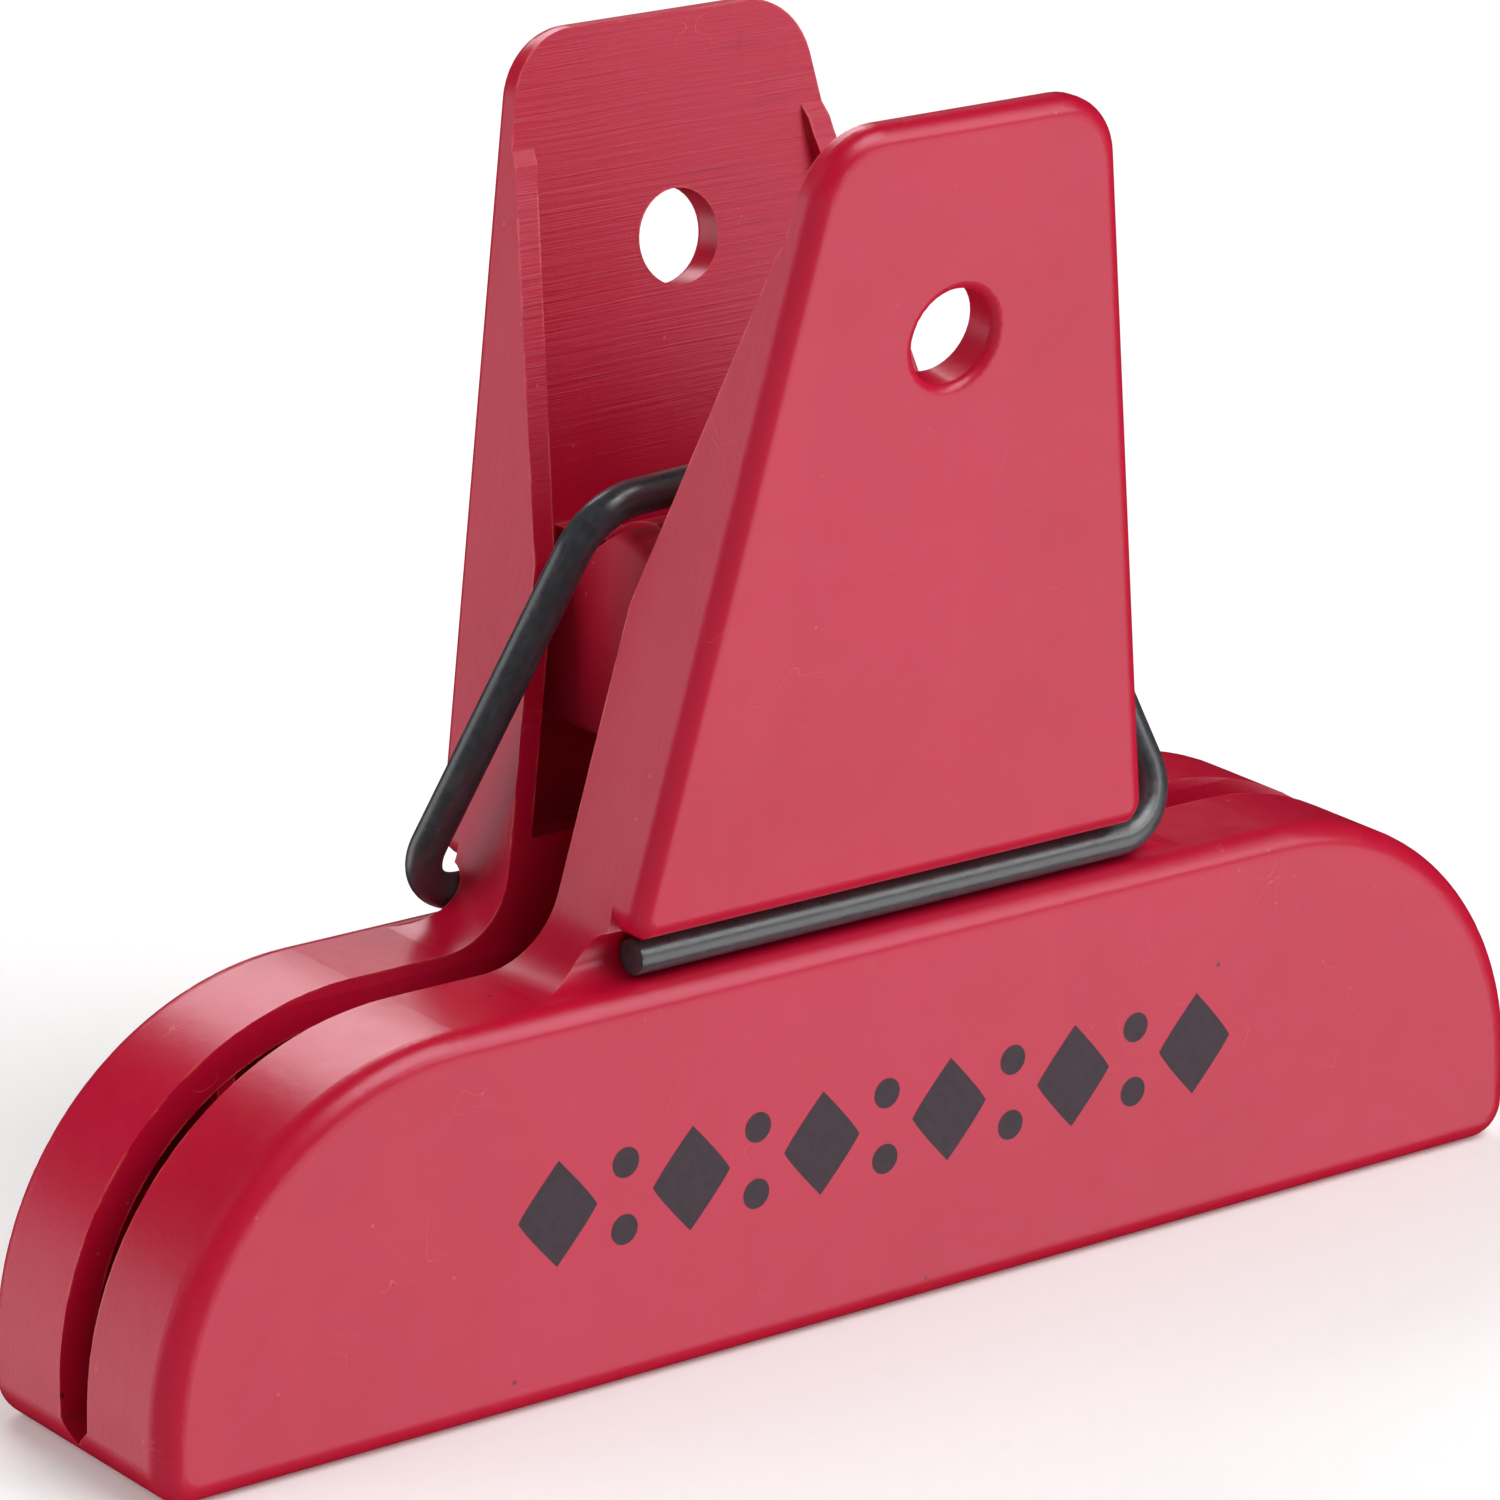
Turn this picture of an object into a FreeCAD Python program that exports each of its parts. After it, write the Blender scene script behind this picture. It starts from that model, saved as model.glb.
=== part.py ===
import FreeCAD, Part
import os, math
import Sketcher
from FreeCAD import Vector, Placement, Rotation

# Spring-wire bag clip: two identical moulded halves, turned half a turn about Z
# to face each other, and one bent wire spring that squeezes them together.
# Frame: X along the jaws, -Y to the front half, +Z up, origin on the resting
# surface under the middle of the closed jaws. Millimetres.

doc = FreeCAD.newDocument("bag_clip")
sheet = doc.addObject("Spreadsheet::Sheet", "Sizes")
SIZES = [
    # jaw outline, seen square on
    ("half_length", 51.0), ("jaw_top", 24.6), ("end_radius", 20.4),
    ("foot_radius", 2.4), ("root_radius", 5.0),
    # tapered handle outline
    ("handle_foot", 19.813), ("handle_head", 10.168), ("clip_height", 75.1),
    ("head_radius", 4.5),
    # side profile, distances out from the mid-plane
    ("jaw_out_low", 9.21), ("jaw_out_top", 9.70),
    ("edge_low", 1.364), ("edge_root", 1.841), ("edge_root_level", 23.86),
    ("edge_kink", 4.643), ("edge_kink_level", 46.2),
    ("edge_tip", 12.20), ("edge_tip_level", 66.90),
    ("plate_out_foot", 9.99), ("plate_foot_level", 27.45), ("plate_lean_out", 0.126),
    ("plate_in_hole", 11.952), ("hole_level", 62.0), ("plate_tilt", 9.475),
    ("lip_gap", 0.10), ("lip_height", 1.3), ("lip_root", 2.5),
    # wire groove under the handle plate
    ("groove_axis", 7.90), ("groove_radius", 1.60), ("corner_radius", 1.7),
    ("corner_back", 7.6),
    # walls
    ("side_wall", 1.55), ("channel_floor", 29.6), ("jaw_wall", 2.2),
    ("core_depth", 6.9), ("rib", 1.2), ("rib_pitch", 9.8),
    # knuckles that the halves rock on
    ("axis_level", 42.3), ("knuckle_radius", 6.6), ("knuckle_play", 0.15),
    ("knuckle_root", 10.0), ("knuckle_heel", -0.6), ("knuckle_round", 0.8), ("knuckle_outer", 13.1), ("knuckle_split", 10.6),
    ("knuckle_side_gap", 0.3), ("knuckle_inner", 7.9),
    # edge rounding and hanging hole
    ("jaw_round", 1.6), ("plate_round", 1.15), ("hole_diameter", 5.8), ("hole_round", 0.6),
    # spring wire
    ("wire_diameter", 2.2), ("wire_run_out", 7.60), ("wire_run_level", 26.0),
    ("wire_run_corner", 23.2), ("wire_free_end", 17.6), ("wire_top_corner", 16.1),
    ("wire_top_level", 51.35), ("wire_skew", 1.78),
    ("wire_low_bend", 3.35), ("wire_top_bend", 3.9),
]
V = {}
for row, (alias, value) in enumerate(SIZES, start=1):
    sheet.set("A%d" % row, alias)
    sheet.set("B%d" % row, repr(value))
    sheet.setAlias("B%d" % row, alias)
    V[alias] = value
doc.recompute()


def value_of(expr):
    """Number for an expression written with the sheet's aliases."""
    if isinstance(expr, (int, float)):
        return float(expr)
    tokens, word, out = expr, "", ""
    for ch in tokens + " ":
        if ch.isalnum() or ch == "_" or (ch == "." and word and word[0].isdigit()):
            word += ch
        else:
            if word:
                out += repr(V[word]) if word in V else word
                word = ""
            out += ch
    return arithmetic(out.replace(" ", ""))


def arithmetic(text):
    """Adds, subtracts, multiplies and divides plain numbers, with brackets."""
    pos = [0]

    def number():
        if text[pos[0]] == "(":
            pos[0] += 1
            v = total()
            pos[0] += 1
            return v
        if text[pos[0]] == "-":
            pos[0] += 1
            return -number()
        start = pos[0]
        while pos[0] < len(text) and (text[pos[0]].isdigit() or text[pos[0]] in ".e"):
            pos[0] += 1
        return float(text[start:pos[0]])

    def product():
        v = number()
        while pos[0] < len(text) and text[pos[0]] in "*/":
            op = text[pos[0]]
            pos[0] += 1
            w = number()
            v = v * w if op == "*" else v / w
        return v

    def total():
        v = product()
        while pos[0] < len(text) and text[pos[0]] in "+-":
            op = text[pos[0]]
            pos[0] += 1
            w = product()
            v = v + w if op == "+" else v - w
        return v

    return total()


def bound(expr):
    """The same expression, reading the sheet."""
    out, word = "", ""
    for ch in expr + " ":
        if ch.isalnum() or ch == "_" or (ch == "." and word and word[0].isdigit()):
            word += ch
        else:
            if word:
                out += ("Sizes." + word) if word in V else word
                word = ""
            out += ch
    return out.strip()


def plane(body, role):
    for feature in body.Origin.OriginFeatures:
        if getattr(feature, "Role", "") == role:
            return feature
    raise RuntimeError("no plane " + role)


def new_sketch(body, name, role, offset=None, offset_exprs=()):
    sk = body.newObject("Sketcher::SketchObject", name)
    sk.AttachmentSupport = [(plane(body, role), "")]
    sk.MapMode = "FlatFace"
    if offset is not None:
        sk.AttachmentOffset = offset
    for path, expr in offset_exprs:
        sk.setExpression(path, bound(expr))
    return sk


def pin(sk, geo, point, xe, ye):
    """Fix one vertex by its two distances from the sketch's origin."""
    x, y = value_of(xe), value_of(ye)
    for kind, e, v in (("DistanceX", xe, x), ("DistanceY", ye, y)):
        i = sk.addConstraint(Sketcher.Constraint(kind, -1, 1, geo, point, v))
        if isinstance(e, str) and any(ch.isalpha() for ch in e):
            sk.setExpression("Constraints[%d]" % i, bound(e))


def loop(sk, points):
    """A closed loop of straight sides. An entry ('arc', x, y) is a point that
    the side bulges through on its way to the next vertex."""
    verts = [p for p in points if p[0] != "arc"]
    n = len(verts)
    geos = []
    k = 0
    i = 0
    seq = list(points)
    while i < len(seq):
        a = seq[i]
        nxt = seq[(i + 1) % len(seq)]
        A = Vector(value_of(a[0]), value_of(a[1]), 0)
        if nxt[0] == "arc":
            b = seq[(i + 2) % len(seq)]
            M = Vector(value_of(nxt[1]), value_of(nxt[2]), 0)
            B = Vector(value_of(b[0]), value_of(b[1]), 0)
            # an arc is drawn anticlockwise: note which of its ends is A
            first = 1 if (M - A).cross(B - M).z > 0 else 2
            arc = Part.Arc(A, M, B) if first == 1 else Part.Arc(B, M, A)
            g = sk.addGeometry(arc, False)
            geos.append((g, first, 3 - first, a, True))
            i += 2
        else:
            B = Vector(value_of(nxt[0]), value_of(nxt[1]), 0)
            g = sk.addGeometry(Part.LineSegment(A, B), False)
            geos.append((g, 1, 2, a, False))
            i += 1
    m = len(geos)
    for j in range(m):
        g0, s0, e0, _, _ = geos[j]
        g1, s1, e1, _, _ = geos[(j + 1) % m]
        sk.addConstraint(Sketcher.Constraint("Coincident", g0, e0, g1, s1))
    for g, s, e, a, _ in geos:
        pin(sk, g, s, a[0], a[1])
    for g, s, e, a, is_arc in geos:
        if is_arc:
            arc = sk.Geometry[g]
            chord = arc.EndPoint - arc.StartPoint
            if abs(chord.y) > abs(chord.x):
                sk.addConstraint(Sketcher.Constraint("DistanceX", -1, 1, g, 3, arc.Center.x))
            else:
                sk.addConstraint(Sketcher.Constraint("DistanceY", -1, 1, g, 3, arc.Center.y))
    return geos


def ok(obj):
    doc.recompute()
    if "Invalid" in obj.State or "Error" in obj.State or obj.Shape.isNull():
        raise RuntimeError("failed: %s %s" % (obj.Name, obj.State))
    return obj


def symmetric(feature):
    if hasattr(feature, "SideType"):
        feature.SideType = "Symmetric"
    else:
        feature.Midplane = True


def pad(body, sk, name, length, reverse=False, both=False):
    f = body.newObject("PartDesign::Pad", name)
    f.Profile = sk
    f.Length = value_of(length)
    if isinstance(length, str):
        f.setExpression("Length", bound(length))
    f.Reversed = reverse
    if both:
        symmetric(f)
    sk.Visibility = False
    return ok(f)


def pocket(body, sk, name, length, reverse=False, both=False):
    before = body.Shape.Volume
    f = body.newObject("PartDesign::Pocket", name)
    f.Profile = sk
    f.Type = 0
    f.Length = value_of(length)
    if isinstance(length, str):
        f.setExpression("Length", bound(length))
    f.Reversed = reverse
    if both:
        symmetric(f)
    sk.Visibility = False
    ok(f)
    if not f.Shape.Volume < before - 0.01:
        raise RuntimeError("%s cut nothing" % name)
    return f


def edge_names(shape, test):
    names = []
    for i, e in enumerate(shape.Edges, start=1):
        if test(e):
            names.append("Edge%d" % i)
    return names


def near(a, b, tol=0.02):
    return abs(a - b) < tol


def along_y_at(x, z):
    def test(e):
        if e.Curve.TypeId != "Part::GeomLine" or len(e.Vertexes) < 2:
            return False
        p, q = e.Vertexes[0].Point, e.Vertexes[1].Point
        return near(p.x, q.x) and near(p.z, q.z) and near(p.x, x) and near(p.z, z)
    return test


def make_half(name, turn):
    body = doc.addObject("PartDesign::Body", name)
    body.Label = name
    # 1. blank: the outline of jaw and handle, from the mid-plane outwards
    sk = new_sketch(body, name + "_outline", "XZ_Plane")
    loop(sk, [
        ("-half_length", 0), ("half_length", 0), ("half_length", "jaw_top"),
        ("handle_foot", "jaw_top"), ("handle_head", "clip_height"),
        ("-handle_head", "clip_height"), ("-handle_foot", "jaw_top"),
        ("-half_length", "jaw_top")])
    pad(body, sk, name + "_blank", 20.0)

    def corners(points, radius, label):
        tip = body.Tip
        names = []
        for x, z in points:
            for sx in (x, -x):
                names += edge_names(tip.Shape, along_y_at(sx, z))
        assert len(names) == 2 * len(points), (label, names)
        f = body.newObject("PartDesign::Fillet", name + "_" + label)
        f.Base = (tip, names)
        f.Radius = V[radius]
        f.setExpression("Radius", "Sizes." + radius)
        return ok(f)

    corners([(V["half_length"], V["jaw_top"])], "end_radius", "round_ends")
    corners([(V["half_length"], 0.0)], "foot_radius", "round_feet")
    corners([(V["handle_foot"], V["jaw_top"])], "root_radius", "round_roots")
    corners([(V["handle_head"], V["clip_height"])], "head_radius", "round_head")

    # 2. outside of the side profile: jaw face, wire groove, handle plate
    sk = new_sketch(body, name + "_outside", "YZ_Plane")
    loop(sk, [
        (-26, -6),
        ("-jaw_out_low+(jaw_out_top-jaw_out_low)/jaw_top*6", -6),
        ("-jaw_out_top", "jaw_top"),
        ("-groove_axis", "jaw_top"),
        ("arc", "-groove_axis+groove_radius", "jaw_top+groove_radius"),
        ("-groove_axis", "jaw_top+groove_radius*2"),
        ("-plate_out_foot", "plate_foot_level"),
        ("-plate_out_foot-plate_lean_out*(82-plate_foot_level)", 82),
        (-26, 82)])
    pocket(body, sk, name + "_face", 130.0, both=True)

    # 3. inside of the side profile: grip lip, jaw edge, handle wall edge
    sk = new_sketch(body, name + "_inside", "YZ_Plane")
    loop(sk, [
        (3, -6), ("-lip_gap", -6), ("-lip_gap", "lip_height"),
        ("-edge_low-0.05", "lip_root"),
        ("-edge_root", "edge_root_level"),
        ("-edge_kink", "edge_kink_level"),
        ("-edge_tip", "edge_tip_level"),
        ("-edge_tip-0.22", "edge_tip_level+0.8"),
        ("-plate_in_hole-0.16690*(edge_tip_level+1.6-hole_level)", "edge_tip_level+1.6"),
        ("-plate_in_hole-0.16690*(82-hole_level)", 82),
        (3, 82)])
    pocket(body, sk, name + "_parting", 130.0, both=True)

    # 4. channel between the two handle walls, down to the plate's inner face
    tilt = Placement(Vector(0, V["hole_level"], V["plate_in_hole"]),
                     Rotation(Vector(1, 0, 0), V["plate_tilt"]))
    tilt_exprs = (("AttachmentOffset.Base.y", "hole_level"),
                  ("AttachmentOffset.Base.z", "plate_in_hole"),
                  ("AttachmentOffset.Rotation.Angle", "plate_tilt"))
    sk = new_sketch(body, name + "_channel_outline", "XZ_Plane", tilt, tilt_exprs)
    slope = "(handle_foot-handle_head)/(clip_height-jaw_top)"
    w_low = "handle_foot-" + slope + "*(channel_floor-jaw_top)-side_wall*1.018"
    w_top = "handle_foot-" + slope + "*(80-jaw_top)-side_wall*1.018"
    loop(sk, [
        ("-(" + w_low + ")", "(channel_floor-hole_level)*1.01383"),
        (w_low, "(channel_floor-hole_level)*1.01383"),
        (w_top, "(80-hole_level)*1.01383"),
        ("-(" + w_top + ")", "(80-hole_level)*1.01383")])
    pocket(body, sk, name + "_channel", 30.0)

    # 5. jaw cored out from inside, with cross ribs left standing
    sk = new_sketch(body, name + "_core_outline", "XZ_Plane")
    cx = V["half_length"] - V["end_radius"]
    cz = V["jaw_top"] - V["end_radius"]
    r = V["end_radius"] - V["jaw_wall"]
    d = r / math.sqrt(2.0)
    loop(sk, [
        ("-half_length+jaw_wall", "jaw_wall+0.6"),
        ("half_length-jaw_wall", "jaw_wall+0.6"),
        ("half_length-jaw_wall", "jaw_top-end_radius"),
        ("arc", cx + d, cz + d),
        ("half_length-end_radius", "jaw_top-jaw_wall"),
        ("-half_length+end_radius", "jaw_top-jaw_wall"),
        ("arc", -cx - d, cz + d),
        ("-half_length+jaw_wall", "jaw_top-end_radius")])
    pocket(body, sk, name + "_core", "core_depth", reverse=True)
    sk = new_sketch(body, name + "_rib_outline", "XZ_Plane",
                    Placement(Vector(0, 0, 1.95), Rotation()))
    for i in range(-4, 5):
        x = i * V["rib_pitch"]
        run = abs(x) - cx
        roof = V["jaw_top"] if run <= 0 else cz + math.sqrt(V["end_radius"] ** 2 - run ** 2)
        c = "%d*rib_pitch" % i
        loop(sk, [(c + "-rib/2", "jaw_wall-0.4"), (c + "+rib/2", "jaw_wall-0.4"),
                  (c + "+rib/2", round(roof - 1.3, 3)), (c + "-rib/2", round(roof - 1.3, 3))])
    pad(body, sk, name + "_ribs", "core_depth-1.95+0.4")

    # 6. knuckle noses that reach across the mid-plane, and the cradles beside
    #    them that carry the other half's knuckles
    def knuckle(label, x1, x2):
        sk = new_sketch(body, name + "_" + label + "_shape", "YZ_Plane",
                        Placement(Vector(0, 0, value_of(x1)), Rotation()),
                        (("AttachmentOffset.Base.z", x1),))
        loop(sk, [
            ("-knuckle_root", "axis_level-knuckle_radius"), (0, "axis_level-knuckle_radius"),
            ("arc", "knuckle_radius", "axis_level"),
            (0, "axis_level+knuckle_radius"),
            ("-knuckle_root", "axis_level+knuckle_heel")])
        pad(body, sk, name + "_" + label, "(" + x2 + ")-(" + x1 + ")")

    def cradle(label, x1, x2):
        a1, a2 = math.radians(40.0), math.radians(-58.0)
        R = V["knuckle_radius"] + V["knuckle_play"]
        sk = new_sketch(body, name + "_" + label + "_shape", "YZ_Plane",
                        Placement(Vector(0, 0, value_of(x1)), Rotation()),
                        (("AttachmentOffset.Base.z", x1),))
        c1, s1, c2, s2 = math.cos(a1), math.sin(a1), math.cos(a2), math.sin(a2)
        rr = "(knuckle_radius+knuckle_play)"
        loop(sk, [
            ("-knuckle_root", "axis_level+%.6f*%s" % (s1, rr)),
            ("-%.6f*%s" % (c1, rr), "axis_level+%.6f*%s" % (s1, rr)),
            ("arc", -R, V["axis_level"]),
            ("-%.6f*%s" % (c2, rr), "axis_level-%.6f*%s" % (-s2, rr)),
            ("-knuckle_root", "axis_level-%.6f*%s" % (-s2, rr))])
        pad(body, sk, name + "_" + label, "(" + x2 + ")-(" + x1 + ")")

    knuckle("outer_knuckle", "knuckle_split", "knuckle_outer")
    knuckle("inner_knuckle", "-knuckle_split+knuckle_side_gap", "-knuckle_inner")
    # the nose's outer end is rounded over where the thumb could reach it
    def nose_edge(e):
        b = e.BoundBox
        return (e.Curve.TypeId == "Part::GeomCircle" and near(b.XMin, V["knuckle_outer"])
                and near(b.XMax, V["knuckle_outer"]) and near(e.Curve.Radius, V["knuckle_radius"]))
    tip = body.Tip
    names = edge_names(tip.Shape, nose_edge)
    assert names, "no nose edge"
    fl = body.newObject("PartDesign::Fillet", name + "_soft_nose")
    fl.Base = (tip, names)
    fl.Radius = V["knuckle_round"]
    fl.setExpression("Radius", "Sizes.knuckle_round")
    ok(fl)
    cradle("outer_cradle", "-knuckle_outer-0.55", "-knuckle_split+knuckle_side_gap+0.2")
    cradle("inner_cradle", "knuckle_inner-0.3", "knuckle_split+0.2")

    # 7. lower corners of the handle plate, in front of the groove
    sk = new_sketch(body, name + "_corner_shape", "XZ_Plane",
                    Placement(Vector(0, 0, V["corner_back"]), Rotation()),
                    (("AttachmentOffset.Base.z", "corner_back"),))
    sl = (V["handle_foot"] - V["handle_head"]) / (V["clip_height"] - V["jaw_top"])
    cs, sn = 1 / math.hypot(1, sl), sl / math.hypot(1, sl)
    rc = V["corner_radius"]
    zc = V["plate_foot_level"] + rc
    xc = V["handle_foot"] - sl * (zc - V["jaw_top"]) - rc / cs
    for s in (1, -1):
        loop(sk, [
            (s * (xc + rc * cs), zc + rc * sn), (s * 27.0, zc + rc * sn), (s * 27.0, 26.9),
            (s * xc, 26.9), (s * xc, zc - rc),
            ("arc", s * (xc + rc * math.cos(math.radians(-39.5))),
             zc + rc * math.sin(math.radians(-39.5)))])
    pocket(body, sk, name + "_corners", 12.0, reverse=True)

    # 8. hanging hole, square to the plate
    sk = new_sketch(body, name + "_hole_outline", "XZ_Plane", tilt, tilt_exprs)
    g = sk.addGeometry(Part.Circle(Vector(0, 0, 0), Vector(0, 0, 1), V["hole_diameter"] / 2), False)
    sk.addConstraint(Sketcher.Constraint("Coincident", g, 3, -1, 1))
    i = sk.addConstraint(Sketcher.Constraint("Diameter", g, V["hole_diameter"]))
    sk.setExpression("Constraints[%d]" % i, "Sizes.hole_diameter")
    pocket(body, sk, name + "_hole", 16.0, both=True)

    # 9. soft outer edges: hole rim, handle plate, jaw face
    def face_loop(test_point, outer=True):
        shape = body.Tip.Shape
        for f in shape.Faces:
            if f.Surface.TypeId != "Part::GeomPlane":
                continue
            n = f.normalAt(0, 0)
            if abs(n.y) < 0.9:
                continue
            if f.isInside(test_point, 0.03, True):
                return shape, f
        raise RuntimeError("no face at %s" % test_point)

    def names_of(shape, edges):
        out = []
        for e in edges:
            for i, c in enumerate(shape.Edges, start=1):
                if c.isSame(e):
                    out.append("Edge%d" % i)
                    break
        return out

    yo = lambda z: -(V["plate_out_foot"] + V["plate_lean_out"] * (z - V["plate_foot_level"]))
    shape, f = face_loop(Vector(0, yo(45.0), 45.0))
    rim = [e for w in f.Wires for e in w.Edges
           if e.BoundBox.XMax < 4 and e.BoundBox.XMin > -4 and e.BoundBox.ZMin > 55 and e.BoundBox.ZMax < 68]
    tip = body.Tip
    fl = body.newObject("PartDesign::Fillet", name + "_soft_rim")
    fl.Base = (tip, names_of(shape, rim))
    fl.Radius = V["hole_round"]
    fl.setExpression("Radius", "Sizes.hole_round")
    ok(fl)
    shape, f = face_loop(Vector(0, yo(45.0), 45.0))
    tip = body.Tip
    fl = body.newObject("PartDesign::Fillet", name + "_soft_plate")
    fl.Base = (tip, names_of(shape, f.OuterWire.Edges))
    fl.Radius = V["plate_round"]
    fl.setExpression("Radius", "Sizes.plate_round")
    ok(fl)
    shape, f = face_loop(Vector(0, -(V["jaw_out_low"] + 0.0199 * 10.0), 10.0))
    tip = body.Tip
    fl = body.newObject("PartDesign::Fillet", name + "_soft_jaw")
    fl.Base = (tip, names_of(shape, f.OuterWire.Edges))
    fl.Radius = V["jaw_round"]
    fl.setExpression("Radius", "Sizes.jaw_round")
    ok(fl)
    body.Tip = fl
    body.Placement = Placement(Vector(0, 0, 0), Rotation(Vector(0, 0, 1), turn))
    doc.recompute()
    return body


front_half = make_half("front_half", 0.0)
rear_half = make_half("rear_half", 180.0)


# Spring wire: straight runs joined by tangent arcs, the same when turned half
# a turn about Z. Free end in the front groove, leg up past the handle's edge,
# middle run over the knuckles, leg down, free end in the rear groove.
def bent_path(points, radii):
    edges, here, turned = [], Vector(points[0]), []
    for i in range(1, len(points) - 1):
        p = Vector(points[i])
        a = (Vector(points[i - 1]) - p).normalize()
        b = (Vector(points[i + 1]) - p).normalize()
        angle = a.getAngle(b)
        r = radii[i - 1]
        back = r / math.tan(angle / 2)
        start, end = p + a * back, p + b * back
        centre = p + (a + b).normalize() * (r / math.sin(angle / 2))
        mid = centre + (p - centre).normalize() * r
        edges.append(Part.LineSegment(here, start).toShape())
        edges.append(Part.Arc(start, mid, end).toShape())
        turned.append((round(r, 2), round(180 - math.degrees(angle), 1)))
        here = end
    edges.append(Part.LineSegment(here, Vector(points[-1])).toShape())
    return Part.Wire(edges), turned


def size(alias):
    return float(sheet.get(alias))


ro, rl = size("wire_run_out"), size("wire_run_level")
xe, xb = size("wire_free_end"), size("wire_run_corner")
xa, zt, sk_ = size("wire_top_corner"), size("wire_top_level"), size("wire_skew")
route = [(-xe, -ro, rl), (xb, -ro, rl), (xa, sk_, zt), (-xa, -sk_, zt), (-xb, ro, rl), (xe, ro, rl)]
low, top = size("wire_low_bend"), size("wire_top_bend")
path, bends = bent_path(route, [low, top, top, low])
print("wire bends (radius, degrees):", bends, "length", round(path.Length, 2))
ring = Part.Wire([Part.Circle(Vector(*route[0]), Vector(1, 0, 0), size("wire_diameter") / 2).toShape()])
tube = path.makePipeShell([ring], True, False)
if tube.ShapeType != "Solid":
    tube = Part.Solid(Part.Shell(tube.Faces))
if tube.Volume < 0:
    tube.reverse()
# flat cut ends with the burr broken by a small chamfer
ends = []
for e in tube.Edges:
    b = e.BoundBox
    if e.Closed and (near(b.XMin, b.XMax, 1e-4)) and (near(abs(b.XMin), xe, 1e-3)):
        ends.append(e)
if len(ends) == 2:
    tube = tube.makeChamfer(0.12, ends)
    if tube.ShapeType == "Compound":
        tube = tube.Solids[0]
expected = math.pi * (size("wire_diameter") / 2) ** 2 * path.Length
print("wire volume", round(tube.Volume, 2), "section x length", round(expected, 2))
spring_wire = doc.addObject("Part::Feature", "spring_wire")
spring_wire.Label = "spring_wire"
spring_wire.Shape = tube
spring_wire.Placement = Placement(Vector(0, 0, 0), Rotation())
doc.recompute()

bad = [o.Name for o in doc.Objects if "Invalid" in o.State or "Error" in o.State]
if bad:
    raise RuntimeError("failed objects: %s" % bad)
os.makedirs("parts", exist_ok=True)
for obj in (front_half, rear_half, spring_wire):
    shape = obj.Shape
    if shape.isNull() or not shape.isValid() or len(shape.Solids) != 1:
        raise RuntimeError("bad shape in " + obj.Label)
    print(obj.Label, "volume %.1f mm3" % shape.Volume, shape.BoundBox)
    shape.exportStep(os.path.join("parts", obj.Label + ".step"))
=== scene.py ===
import bpy, bmesh, math
from mathutils import Vector, Matrix


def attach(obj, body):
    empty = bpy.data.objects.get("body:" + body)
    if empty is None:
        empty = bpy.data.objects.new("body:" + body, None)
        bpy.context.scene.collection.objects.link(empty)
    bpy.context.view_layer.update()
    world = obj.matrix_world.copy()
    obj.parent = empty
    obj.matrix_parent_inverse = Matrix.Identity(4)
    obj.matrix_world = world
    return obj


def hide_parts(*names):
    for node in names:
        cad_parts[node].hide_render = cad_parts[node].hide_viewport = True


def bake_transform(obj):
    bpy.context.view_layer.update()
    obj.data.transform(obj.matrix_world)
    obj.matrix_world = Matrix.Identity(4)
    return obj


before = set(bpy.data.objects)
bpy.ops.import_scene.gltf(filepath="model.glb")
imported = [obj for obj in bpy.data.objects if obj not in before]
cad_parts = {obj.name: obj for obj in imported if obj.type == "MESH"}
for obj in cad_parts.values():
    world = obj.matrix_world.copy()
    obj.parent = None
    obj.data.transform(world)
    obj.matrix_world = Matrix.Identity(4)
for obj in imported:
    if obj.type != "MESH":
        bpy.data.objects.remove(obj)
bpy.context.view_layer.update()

MM = 0.001
FRONT, REAR = "front", "rear"


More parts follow.
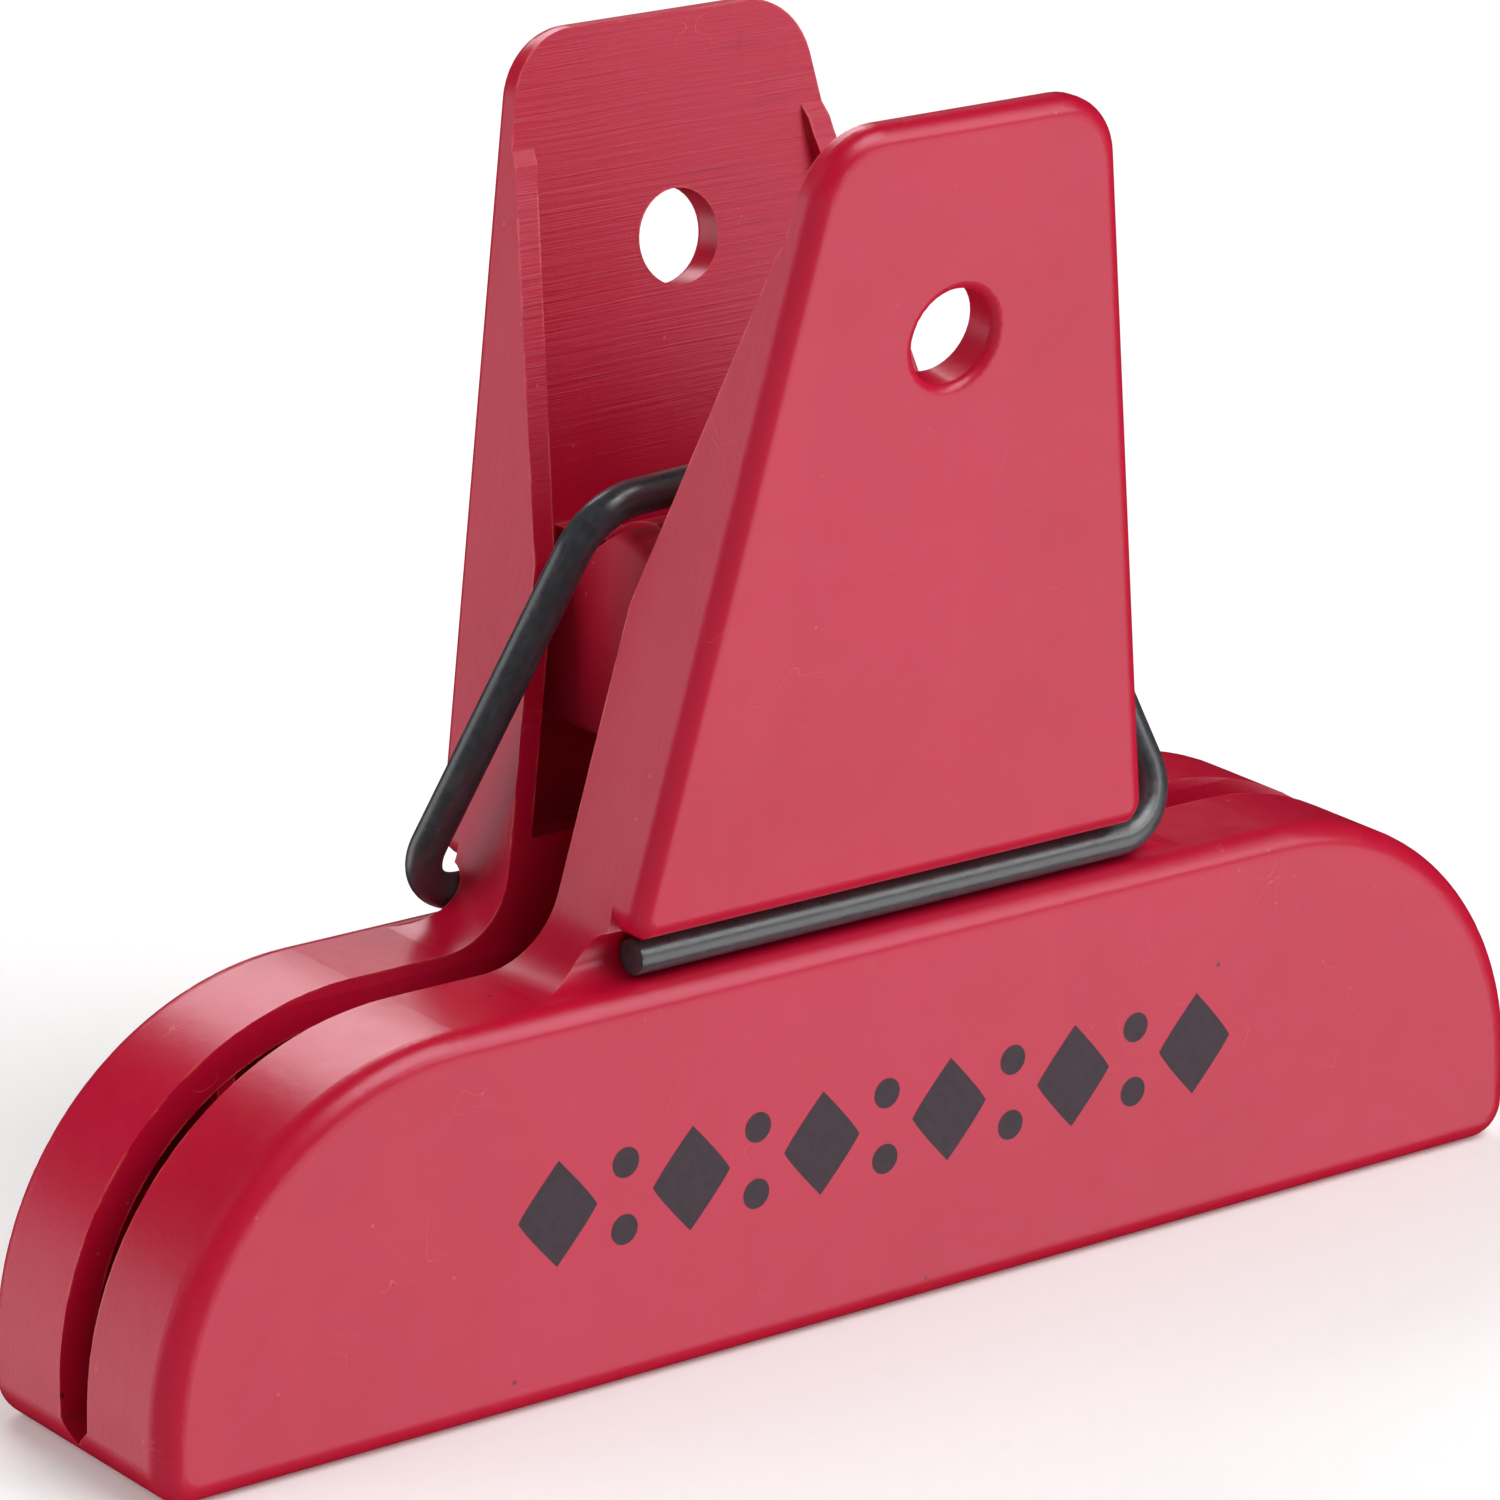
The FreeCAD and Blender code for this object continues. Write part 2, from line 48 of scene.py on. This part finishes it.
# ------------------------------------------------------------------ node help
class Tree:
    """Short hands for building a material's nodes."""

    def __init__(self, mat):
        mat.use_nodes = True
        self.t = mat.node_tree
        self.t.nodes.clear()

    def n(self, kind, **props):
        node = self.t.nodes.new(kind)
        for k, v in props.items():
            setattr(node, k, v)
        return node

    def link(self, a, b):
        self.t.links.new(a, b)

    def put(self, node, key, value):
        if hasattr(value, "is_output") or isinstance(value, bpy.types.NodeSocket):
            self.link(value, node.inputs[key])
        else:
            node.inputs[key].default_value = value

    def math(self, op, a, b=0.0, c=None, clamp=False):
        m = self.n("ShaderNodeMath", operation=op, use_clamp=clamp)
        self.put(m, 0, a)
        if op not in ("ABSOLUTE", "SQRT", "SINE", "COSINE", "FRACT", "FLOOR"):
            self.put(m, 1, b)
        if c is not None:
            self.put(m, 2, c)
        return m.outputs[0]

    def smooth(self, x, lo, hi, a=0.0, b=1.0):
        m = self.n("ShaderNodeMapRange", interpolation_type="SMOOTHSTEP")
        self.put(m, 0, x)
        m.inputs[1].default_value = lo
        m.inputs[2].default_value = hi
        m.inputs[3].default_value = a
        m.inputs[4].default_value = b
        return m.outputs[0]

    def noise(self, vec, scale, detail=2.0, rough=0.5, distort=0.0, dim="3D"):
        m = self.n("ShaderNodeTexNoise", noise_dimensions=dim)
        self.link(vec, m.inputs["Vector"])
        m.inputs["Scale"].default_value = scale
        m.inputs["Detail"].default_value = detail
        m.inputs["Roughness"].default_value = rough
        m.inputs["Distortion"].default_value = distort
        return m.outputs["Fac"]

    def voronoi(self, vec, scale, feature="F1", out="Distance", rand=1.0):
        m = self.n("ShaderNodeTexVoronoi", feature=feature)
        self.link(vec, m.inputs["Vector"])
        m.inputs["Scale"].default_value = scale
        m.inputs["Randomness"].default_value = rand
        return m.outputs[out]

    def mapped(self, vec, scale=(1, 1, 1), loc=(0, 0, 0), rot=(0, 0, 0)):
        m = self.n("ShaderNodeMapping")
        self.link(vec, m.inputs["Vector"])
        m.inputs["Scale"].default_value = scale
        m.inputs["Location"].default_value = loc
        m.inputs["Rotation"].default_value = rot
        return m.outputs[0]

    def mix(self, fac, a, b, mode="MIX"):
        m = self.n("ShaderNodeMix", data_type="RGBA", blend_type=mode)
        self.put(m, 0, fac)
        for idx, v in ((6, a), (7, b)):
            if isinstance(v, bpy.types.NodeSocket):
                self.link(v, m.inputs[idx])
            else:
                m.inputs[idx].default_value = (*v, 1.0) if len(v) == 3 else v
        return m.outputs[2]

    def bump(self, height, strength, dist, normal=None):
        m = self.n("ShaderNodeBump")
        m.inputs["Strength"].default_value = strength
        m.inputs["Distance"].default_value = dist
        self.link(height, m.inputs["Height"])
        if normal is not None:
            self.link(normal, m.inputs["Normal"])
        return m.outputs[0]


def lin(r, g, b):
    f = lambda c: c / 12.92 if c <= 0.04045 else ((c + 0.055) / 1.055) ** 2.4
    return tuple(f(c / 255.0) for c in (r, g, b))


# ------------------------------------------------------------------ materials
def plastic(name, turned, base=(0.49, 0.003, 0.030)):
    """Satin injection-moulded red. Coordinates are the half's own, in mm, so
    both halves carry the same mould marks half a turn apart."""
    mat = bpy.data.materials.new(name)
    T = Tree(mat)
    geo = T.n("ShaderNodeTexCoord")
    k = 1000.0
    scale = (-k, -k, k) if turned else (k, k, k)
    P = T.mapped(geo.outputs["Object"], scale=scale)
    sep = T.n("ShaderNodeSeparateXYZ")
    T.link(P, sep.inputs[0])
    x, y, z = sep.outputs
    nrm = T.n("ShaderNodeNewGeometry").outputs["Normal"]
    nsep = T.n("ShaderNodeSeparateXYZ")
    if turned:
        nm = T.n("ShaderNodeVectorMath", operation="MULTIPLY")
        T.link(nrm, nm.inputs[0])
        nm.inputs[1].default_value = (-1, -1, 1)
        T.link(nm.outputs[0], nsep.inputs[0])
    else:
        T.link(nrm, nsep.inputs[0])
    nx, ny, nz = nsep.outputs

    inner = T.smooth(ny, 0.45, 0.8)                       # faces that look at the other half
    outer = T.smooth(T.math("MULTIPLY", ny, -1.0), 0.6, 0.9)
    side = T.smooth(T.math("ABSOLUTE", nx), 0.55, 0.85)
    handle = T.smooth(z, 28.0, 31.0)

    # colour: cloudy pigment, lighter flow streaks, dust
    cloud = T.noise(P, 0.055, 3.0, 0.55)
    cloud2 = T.noise(P, 0.6, 4.0, 0.6)
    streak = T.noise(T.mapped(P, scale=(0.12, 0.12, 0.02)), 1.0, 3.0, 0.6, 0.4)
    c = T.mix(T.smooth(cloud, 0.35, 0.7), base, tuple(v * f for v, f in zip(base, (0.93, 0.75, 0.8))))
    c = T.mix(T.math("MULTIPLY", T.smooth(streak, 0.5, 0.85), 0.22), c, (0.56, 0.022, 0.05))
    c = T.mix(T.math("MULTIPLY", T.smooth(cloud2, 0.55, 0.9), 0.10), c, (0.60, 0.05, 0.06))
    specks = T.voronoi(T.mapped(P, loc=(3.1, 7.7, 1.3)), 0.16)
    dark_dot = T.smooth(specks, 0.020, 0.036, 1.0, 0.0)
    c = T.mix(T.math("MULTIPLY", dark_dot, 0.75), c, (0.05, 0.004, 0.008))
    pale = T.voronoi(P, 0.34)
    pale_dot = T.smooth(pale, 0.022, 0.045, 1.0, 0.0)
    c = T.mix(T.math("MULTIPLY", pale_dot, 0.22), c, (0.80, 0.30, 0.28))

    # hairline scratches: thin level lines of a stretched noise, broken up by another
    def scratches(loc, rot, scale, width, gate_lo, gate_hi):
        q = T.mapped(P, loc=loc, rot=rot, scale=scale)
        nz_ = T.noise(q, 0.22, 1.0, 0.4, 0.6)
        line = T.smooth(T.math("ABSOLUTE", T.math("SUBTRACT", nz_, 0.5)), 0.0, width, 1.0, 0.0)
        gate = T.smooth(T.noise(T.mapped(P, loc=(loc[1], loc[2], loc[0])), 0.11, 2.0, 0.6), gate_lo, gate_hi)
        return T.math("MULTIPLY", line, gate)
    s1 = scratches((11, 3, 7), (0.3, 0.2, 0.9), (1, 1, 1), 0.0022, 0.60, 0.66)
    s2 = scratches((31, 13, 2), (0.9, 0.1, 2.2), (1.3, 1.3, 1.3), 0.0022, 0.62, 0.68)
    scr = T.math("MAXIMUM", s1, s2)
    c = T.mix(T.math("MULTIPLY", scr, 0.28), c, (0.78, 0.28, 0.26))

    # machining lines of the mould core, across the inner face of the handle
    wob = T.noise(P, 0.05, 1.0)
    zz = T.math("ADD", z, T.math("MULTIPLY", wob, 0.8))
    lines_v = T.n("ShaderNodeCombineXYZ")
    T.link(T.math("MULTIPLY", x, 0.055), lines_v.inputs[0])
    T.link(T.math("MULTIPLY", zz, 4.2), lines_v.inputs[2])
    lines = T.noise(lines_v.outputs[0], 1.0, 4.0, 0.72)
    lines_on = T.math("MULTIPLY", inner, T.smooth(z, 44.0, 58.0))
    dark_line = T.math("MULTIPLY", T.smooth(lines, 0.54, 0.70), lines_on)
    c = T.mix(T.math("MULTIPLY", dark_line, 0.45), c, (0.20, 0.002, 0.012))

    # flow weld line running up and out from the hanging hole, inner face only
    weld = T.math("ADD", T.math("ADD", x, T.math("MULTIPLY", T.math("SUBTRACT", z, 64.5), 0.52)), 1.2)
    weld = T.math("ADD", weld, T.math("MULTIPLY", T.noise(P, 0.35, 2.0), 0.5))
    weld = T.smooth(T.math("ABSOLUTE", weld), 0.03, 0.24, 1.0, 0.0)
    weld = T.math("MULTIPLY", weld, T.math("MULTIPLY", inner, T.math("MULTIPLY", T.smooth(z, 64.6, 65.2), T.smooth(z, 73.5, 71.5, 1.0, 0.0))))
    weld = T.math("MULTIPLY", weld, T.smooth(z, 71.5, 73.8, 1.0, 0.0))
    c = T.mix(T.math("MULTIPLY", weld, 0.62), c, (0.12, 0.002, 0.012))

    # edges: a sharp parting edge goes pale and orange where it is rubbed
    bev = T.n("ShaderNodeBevel", samples=4)
    bev.inputs["Radius"].default_value = 0.00030
    dot = T.n("ShaderNodeVectorMath", operation="DOT_PRODUCT")
    T.link(bev.outputs[0], dot.inputs[0])
    T.link(nrm, dot.inputs[1])
    edge = T.smooth(dot.outputs["Value"], 0.80, 0.985, 1.0, 0.0)
    rub = T.smooth(T.noise(P, 0.35, 4.0, 0.65), 0.42, 0.62)
    wear = T.math("MULTIPLY", edge, rub)
    c = T.mix(T.math("MULTIPLY", wear, 0.50), c, (0.86, 0.22, 0.13))

    # roughness: satin, duller on the mould-textured sides, polished by handling
    r = T.math("ADD", 0.315, T.math("MULTIPLY", T.math("SUBTRACT", cloud2, 0.5), 0.10))
    r = T.math("ADD", r, T.math("MULTIPLY", side, 0.05))
    r = T.math("ADD", r, T.math("MULTIPLY", scr, 0.15))
    r = T.math("SUBTRACT", r, T.math("MULTIPLY", wear, 0.06))
    r = T.math("ADD", r, T.math("MULTIPLY", T.math("MULTIPLY", lines, lines_on), 0.16))

    # the knuckles come from a spark-eroded part of the mould: dull, finely grained
    boss = T.math("MULTIPLY", T.smooth(T.math("ABSOLUTE", x), 13.5, 14.0, 1.0, 0.0),
                  T.math("MULTIPLY", T.smooth(z, 34.5, 35.5), T.smooth(z, 49.0, 50.0, 1.0, 0.0)))
    boss = T.math("MULTIPLY", boss, T.smooth(y, -6.5, -5.5))
    r = T.math("ADD", r, T.math("MULTIPLY", boss, 0.26))
    grain = T.noise(P, 7.0, 2.0, 0.6)

    # relief, heights in metres: orange peel, drag marks down the side walls, core lines
    peel = T.noise(P, 1.0, 3.0, 0.55)
    drag = T.noise(T.mapped(P, scale=(3.0, 3.0, 0.09)), 1.0, 3.0, 0.7)
    sink = T.noise(T.mapped(P, scale=(0.05, 0.05, 0.09)), 1.0, 1.0, 0.5)
    height = T.math("MULTIPLY", peel, 0.0000140)
    height = T.math("ADD", height, T.math("MULTIPLY", T.math("MULTIPLY", drag, side), 0.0000200))
    height = T.math("ADD", height, T.math("MULTIPLY", T.math("MULTIPLY", lines, lines_on), 0.0000700))
    height = T.math("ADD", height, T.math("MULTIPLY", sink, 0.000120))
    height = T.math("ADD", height, T.math("MULTIPLY", T.math("MULTIPLY", grain, boss), 0.0000220))
    h6 = T.bump(height, 1.0, 1.0)

    b = T.n("ShaderNodeBsdfPrincipled")
    T.link(c, b.inputs["Base Color"])
    T.link(r, b.inputs["Roughness"])
    T.link(h6, b.inputs["Normal"])
    b.inputs["IOR"].default_value = 1.50
    b.inputs["Specular IOR Level"].default_value = 0.62
    b.inputs["Specular Tint"].default_value = (1.0, 0.80, 0.96, 1.0)
    out = T.n("ShaderNodeOutputMaterial")
    T.link(b.outputs[0], out.inputs[0])
    return mat


def steel(name):
    """Dull oiled spring wire: drawn along its length, with bare rubbed spots."""
    mat = bpy.data.materials.new(name)
    T = Tree(mat)
    uv = T.n("ShaderNodeUVMap")
    uv.uv_map = "run"
    along = T.mapped(uv.outputs[0], scale=(1.0, 1.0, 1.0))
    geo = T.n("ShaderNodeTexCoord")
    P = T.mapped(geo.outputs["Object"], scale=(1000.0, 1000.0, 1000.0))
    draw = T.noise(T.mapped(along, scale=(0.25, 9.0, 1.0)), 1.0, 4.0, 0.65)
    mott = T.noise(P, 1.5, 4.0, 0.6)
    pit = T.voronoi(P, 1.1)
    spot = T.smooth(pit, 0.05, 0.12, 1.0, 0.0)
    spot = T.math("MULTIPLY", spot, T.smooth(T.noise(P, 0.25, 2.0), 0.52, 0.62))
    c = T.mix(T.smooth(mott, 0.3, 0.75), (0.030, 0.032, 0.038), (0.046, 0.048, 0.056))
    c = T.mix(T.math("MULTIPLY", T.smooth(draw, 0.5, 0.8), 0.5), c, (0.095, 0.093, 0.092))
    c = T.mix(T.math("MULTIPLY", spot, 0.5), c, (0.20, 0.19, 0.18))
    r = T.math("ADD", 0.33, T.math("MULTIPLY", T.math("SUBTRACT", mott, 0.5), 0.30))
    h1 = T.bump(draw, 0.6, 0.00003)
    h2 = T.bump(mott, 0.35, 0.00004, h1)
    b = T.n("ShaderNodeBsdfPrincipled")
    T.link(c, b.inputs["Base Color"])
    T.link(r, b.inputs["Roughness"])
    T.link(h2, b.inputs["Normal"])
    b.inputs["Metallic"].default_value = 0.0
    b.inputs["Specular IOR Level"].default_value = 1.0
    out = T.n("ShaderNodeOutputMaterial")
    T.link(b.outputs[0], out.inputs[0])
    return mat


def ink(name):
    mat = bpy.data.materials.new(name)
    T = Tree(mat)
    geo = T.n("ShaderNodeTexCoord")
    P = T.mapped(geo.outputs["Object"], scale=(1000.0, 1000.0, 1000.0))
    mott = T.noise(P, 1.4, 4.0, 0.6)
    pin = T.smooth(T.voronoi(P, 1.7), 0.03, 0.07, 1.0, 0.0)
    c = T.mix(T.smooth(mott, 0.35, 0.7), (0.030, 0.014, 0.026), (0.046, 0.020, 0.034))
    c = T.mix(T.math("MULTIPLY", pin, 0.4), c, (0.25, 0.02, 0.04))
    b = T.n("ShaderNodeBsdfPrincipled")
    T.link(c, b.inputs["Base Color"])
    T.link(T.math("ADD", 0.48, T.math("MULTIPLY", mott, 0.1)), b.inputs["Roughness"])
    T.link(T.bump(T.noise(P, 6.0, 3.0), 0.2, 0.00002), b.inputs["Normal"])
    b.inputs["Specular IOR Level"].default_value = 0.5
    out = T.n("ShaderNodeOutputMaterial")
    T.link(b.outputs[0], out.inputs[0])
    return mat


red_front = plastic("satin_red_front", False)
red_rear = plastic("satin_red_rear", True)
wire_mat = steel("spring_wire_steel")
ink_mat = ink("dark_print_ink")

for node, mat in (("front_half", red_front), ("rear_half", red_rear)):
    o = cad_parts[node]
    o.data.materials.clear() if not o.data.materials else None
    for i in range(len(o.data.materials)):
        o.data.materials[i] = mat
    if not o.data.materials:
        o.data.materials.append(mat)


# ------------------------------------------------------------------ wire
def route_of(points, radii, step=0.12):
    """Points along straight runs and round bends, in mm."""
    pts = [Vector(p) for p in points]
    out = [pts[0].copy()]
    here = pts[0]
    for i in range(1, len(pts) - 1):
        p = pts[i]
        a = (pts[i - 1] - p).normalized()
        b = (pts[i + 1] - p).normalized()
        ang = a.angle(b)
        r = radii[i - 1]
        back = r / math.tan(ang / 2)
        s, e = p + a * back, p + b * back
        centre = p + (a + b).normalized() * (r / math.sin(ang / 2))
        n = max(2, int((s - here).length / 0.5))
        for k in range(1, n + 1):
            out.append(here.lerp(s, k / n))
        axis = (s - centre).cross(e - centre).normalized()
        turn = math.pi - ang
        m = 28
        for k in range(1, m + 1):
            out.append(centre + Matrix.Rotation(turn * k / m, 3, axis) @ (s - centre))
        here = e
    n = max(2, int((pts[-1] - here).length / 0.5))
    for k in range(1, n + 1):
        out.append(here.lerp(pts[-1], k / n))
    return out


ROUTE = [(-17.6, -7.60, 26.0), (23.2, -7.60, 26.0), (16.1, 1.78, 51.35),
         (-16.1, -1.78, 51.35), (-23.2, 7.60, 26.0), (17.6, 7.60, 26.0)]


def wire_mesh(name, radius=1.1, sides=40):
    path = route_of(ROUTE, [3.35, 3.9, 3.9, 3.35])
    n = len(path)
    tang = []
    for i in range(n):
        a, b = path[max(0, i - 1)], path[min(n - 1, i + 1)]
        tang.append((b - a).normalized())
    ref = Vector((0, 0, 1))
    frames = []
    u = (ref - tang[0] * ref.dot(tang[0])).normalized()
    for i in range(n):
        if i:
            q = tang[i - 1].rotation_difference(tang[i])
            u = q @ u
            u = (u - tang[i] * u.dot(tang[i])).normalized()
        frames.append((u.copy(), tang[i].cross(u)))
    bm = bmesh.new()
    rings, dist = [], []
    total = 0.0

    def ring(c, u, v, rad):
        return [bm.verts.new((c + (u * math.cos(2 * math.pi * k / sides) + v * math.sin(2 * math.pi * k / sides)) * rad) * MM)
                for k in range(sides)]

    # sheared ends: flat, with the burr rolled over a little
    burr = [(0.00, 0.62), (0.00, 0.93), (0.035, 0.985), (0.10, 1.0)]
    for off, f in burr:
        rings.append(ring(path[0] + tang[0] * off, *frames[0], radius * f))
        dist.append(off)
    for i in range(1, n - 1):
        total += (path[i] - path[i - 1]).length
        rings.append(ring(path[i], *frames[i], radius))
        dist.append(total)
    total += (path[-1] - path[-2]).length
    for off, f in reversed(burr):
        rings.append(ring(path[-1] - tang[-1] * off, *frames[-1], radius * f))
        dist.append(total - off)
    uv = bm.loops.layers.uv.new("run")
    for i in range(len(rings) - 1):
        for k in range(sides):
            k2 = (k + 1) % sides
            f = bm.faces.new((rings[i][k], rings[i][k2], rings[i + 1][k2], rings[i + 1][k]))
            f.smooth = True
            for loop, (a, b) in zip(f.loops, ((dist[i], k), (dist[i], k + 1), (dist[i + 1], k + 1), (dist[i + 1], k))):
                loop[uv].uv = (a, b / sides)
    for r_, c, flip in ((rings[0], path[0], True), (rings[-1], path[-1], False)):
        mid = bm.verts.new(c * MM)
        for k in range(sides):
            tri = (r_[k], mid, r_[(k + 1) % sides]) if not flip else (r_[(k + 1) % sides], mid, r_[k])
            bm.faces.new(tri)
    bmesh.ops.recalc_face_normals(bm, faces=bm.faces)
    me = bpy.data.meshes.new(name)
    bm.to_mesh(me)
    bm.free()
    for e in me.edges:
        pass
    o = bpy.data.objects.new(name, me)
    bpy.context.scene.collection.objects.link(o)
    me.materials.append(wire_mat)
    return o


wire = wire_mesh("wire_spring")
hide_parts("spring_wire")
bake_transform(wire)


# ------------------------------------------------------------------ print
def face_y(z):
    """Front face of the front jaw, mm."""
    return -(9.21 + (9.70 - 9.21) / 24.6 * z)


def film(name, strips, lift=0.012, thick=0.03):
    """Flat ink shapes on the jaw's front face: strips of (centre, width) in X, Z."""
    bm = bmesh.new()
    for pts in strips:
        left, right = [], []
        n = len(pts)
        for i, (x, z, w) in enumerate(pts):
            ax, az, _ = pts[max(0, i - 1)]
            bx, bz, _ = pts[min(n - 1, i + 1)]
            dx, dz = bx - ax, bz - az
            d = math.hypot(dx, dz) or 1.0
            px, pz = -dz / d, dx / d
            left.append((x + px * w / 2, z + pz * w / 2))
            right.append((x - px * w / 2, z - pz * w / 2))
        layers = []
        for depth in (lift, -thick):
            row = []
            for (lx, lz), (rx, rz) in zip(left, right):
                row.append((bm.verts.new((lx * MM, (face_y(lz) - depth) * MM, lz * MM)),
                            bm.verts.new((rx * MM, (face_y(rz) - depth) * MM, rz * MM))))
            layers.append(row)
        top, bot = layers
        for i in range(n - 1):
            bm.faces.new((top[i][0], top[i][1], top[i + 1][1], top[i + 1][0]))
            bm.faces.new((bot[i][0], bot[i + 1][0], bot[i + 1][1], bot[i][1]))
            for s in (0, 1):
                bm.faces.new((top[i][s], top[i + 1][s], bot[i + 1][s], bot[i][s]))
        for i in (0, n - 1):
            bm.faces.new((top[i][0], top[i][1], bot[i][1], bot[i][0]))
    bmesh.ops.recalc_face_normals(bm, faces=bm.faces)
    me = bpy.data.meshes.new(name)
    bm.to_mesh(me)
    bm.free()
    o = bpy.data.objects.new(name, me)
    bpy.context.scene.collection.objects.link(o)
    me.materials.append(ink_mat)
    return o


def disc(cx, cz, r, n=40):
    """A round dot as one strip of changing width, drawn left to right."""
    pts = []
    for i in range(n + 1):
        a = math.pi * i / n
        x = cx - r * math.cos(a)
        pts.append((x, cz, max(0.004, 2 * r * math.sin(a))))
    return pts


def lozenge(cx, cz, wide, tall, n=24):
    """A diamond with slightly bowed sides, drawn left to right."""
    pts = []
    for i in range(n + 1):
        t = -1 + 2 * i / n
        pts.append((cx + wide / 2 * t, cz, max(0.004, tall * (1 - abs(t)) ** 0.9)))
    return pts


CZ = 12.2
marks = []
for i in range(11):
    xc = -24.0 + 4.8 * i
    if i % 2 == 0:
        marks.append(lozenge(xc, CZ, 5.6, 6.6))
    else:
        marks.append(disc(xc, CZ + 2.1, 0.95))
        marks.append(disc(xc, CZ - 2.1, 0.95))
motif = film("print_film", marks)
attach(motif, FRONT)


# ------------------------------------------------------------------ camera
right = Vector((0.7959745, -0.60518254, 0.01336733))
up = Vector((0.18192815, 0.26022856, 0.94825273))
back = Vector((-0.57734456, -0.7523531, 0.31723504))
cam_data = bpy.data.cameras.new("camera")
cam_data.sensor_fit = "HORIZONTAL"
cam_data.sensor_width = 36.0
cam_data.lens = 7536.112 / 1500.0 * 36.0
cam_data.clip_start = 0.01
cam_data.clip_end = 20.0
cam = bpy.data.objects.new("camera", cam_data)
loc_mm = -(Vector((0.7959745, -0.60518254, 0.01336733)) * 2.18038896
           + Vector((-0.18192815, -0.26022856, -0.94825273)) * 31.41353931
           + Vector((0.57734456, 0.7523531, -0.31723504)) * 457.95998639)
m = Matrix.Identity(4)
for i in range(3):
    m[i][0], m[i][1], m[i][2] = right[i], up[i], back[i]
    m[i][3] = loc_mm[i] * MM
cam.matrix_world = m
bpy.context.scene.collection.objects.link(cam)
bpy.context.scene.camera = cam


# ------------------------------------------------------------------ stage
def paper(name):
    mat = bpy.data.materials.new(name)
    T = Tree(mat)
    geo = T.n("ShaderNodeTexCoord")
    fine = T.noise(geo.outputs["Object"], 900.0, 3.0, 0.6)
    c = T.mix(T.smooth(fine, 0.3, 0.7), (0.90, 0.90, 0.90), (0.93, 0.93, 0.93))
    b = T.n("ShaderNodeBsdfPrincipled")
    T.link(c, b.inputs["Base Color"])
    b.inputs["Roughness"].default_value = 0.9
    b.inputs["Specular IOR Level"].default_value = 0.1
    b.inputs["Emission Color"].default_value = (0.94, 1.0, 0.98, 1.0)
    b.inputs["Emission Strength"].default_value = 0.10
    out = T.n("ShaderNodeOutputMaterial")
    T.link(b.outputs[0], out.inputs[0])
    return mat


bm = bmesh.new()
S = 6.0
vs = [bm.verts.new(p) for p in ((-S, -S, -0.00002), (S, -S, -0.00002), (S, S, -0.00002), (-S, S, -0.00002))]
bm.faces.new(vs)
me = bpy.data.meshes.new("floor")
bm.to_mesh(me)
bm.free()
floor = bpy.data.objects.new("floor", me)
me.materials.append(paper("floor_paper"))
bpy.context.scene.collection.objects.link(floor)
floor.visible_glossy = False
floor.visible_shadow = False

world = bpy.data.worlds.new("studio")
bpy.context.scene.world = world
world.use_nodes = True
wt = world.node_tree
wt.nodes.clear()
bgA = wt.nodes.new("ShaderNodeBackground")
bgA.inputs[0].default_value = (1, 1, 1, 1)
bgA.inputs[1].default_value = 1.0
bgB = wt.nodes.new("ShaderNodeBackground")
bgB.inputs[0].default_value = (1, 1, 1, 1)
bgB.inputs[1].default_value = 0.23
bgC = wt.nodes.new("ShaderNodeBackground")
bgC.inputs[0].default_value = (1, 1, 1, 1)
bgC.inputs[1].default_value = 0.0
lp = wt.nodes.new("ShaderNodeLightPath")
mx = wt.nodes.new("ShaderNodeMixShader")
mx2 = wt.nodes.new("ShaderNodeMixShader")
wo = wt.nodes.new("ShaderNodeOutputWorld")
wt.links.new(lp.outputs["Is Glossy Ray"], mx2.inputs[0])
wt.links.new(bgB.outputs[0], mx2.inputs[1])
wt.links.new(bgC.outputs[0], mx2.inputs[2])
wt.links.new(lp.outputs["Is Camera Ray"], mx.inputs[0])
wt.links.new(mx2.outputs[0], mx.inputs[1])
wt.links.new(bgA.outputs[0], mx.inputs[2])
wt.links.new(mx.outputs[0], wo.inputs[0])
if hasattr(world, "cycles"):
    world.cycles.sampling_method = "NONE"


def softbox(name, at, aim, w, h, power, color=(1, 1, 1)):
    d = bpy.data.lights.new(name, "AREA")
    d.shape = "RECTANGLE"
    d.size, d.size_y = w, h
    d.energy = power
    d.color = color
    o = bpy.data.objects.new(name, d)
    o.location = at
    o.rotation_euler = (Vector(aim) - Vector(at)).to_track_quat("-Z", "Y").to_euler()
    bpy.context.scene.collection.objects.link(o)
    return o


MID = (0, 0, 0.035)
softbox("overhead", (0.24, -0.50, 0.74), MID, 0.6, 0.6, 5.6)
softbox("front_card", (0.50, -0.72, -0.24), MID, 0.70, 0.64, 2.7)
softbox("inner_card", (0.514, -0.658, 0.372), MID, 0.42, 0.26, 1.3)
softbox("left_card", (-0.54, 0.68, -0.14), MID, 0.55, 0.60, 1.45)
softbox("back_card", (0.20, 0.60, 0.50), MID, 0.42, 0.36, 2.0)
left_fill = softbox("left_fill", (-0.70, 0.25, 0.45), MID, 0.60, 0.60, 2.6)
left_fill.visible_glossy = False

scene = bpy.context.scene
scene.view_settings.view_transform = "Standard"
scene.view_settings.look = "None"
scene.view_settings.exposure = 0.0
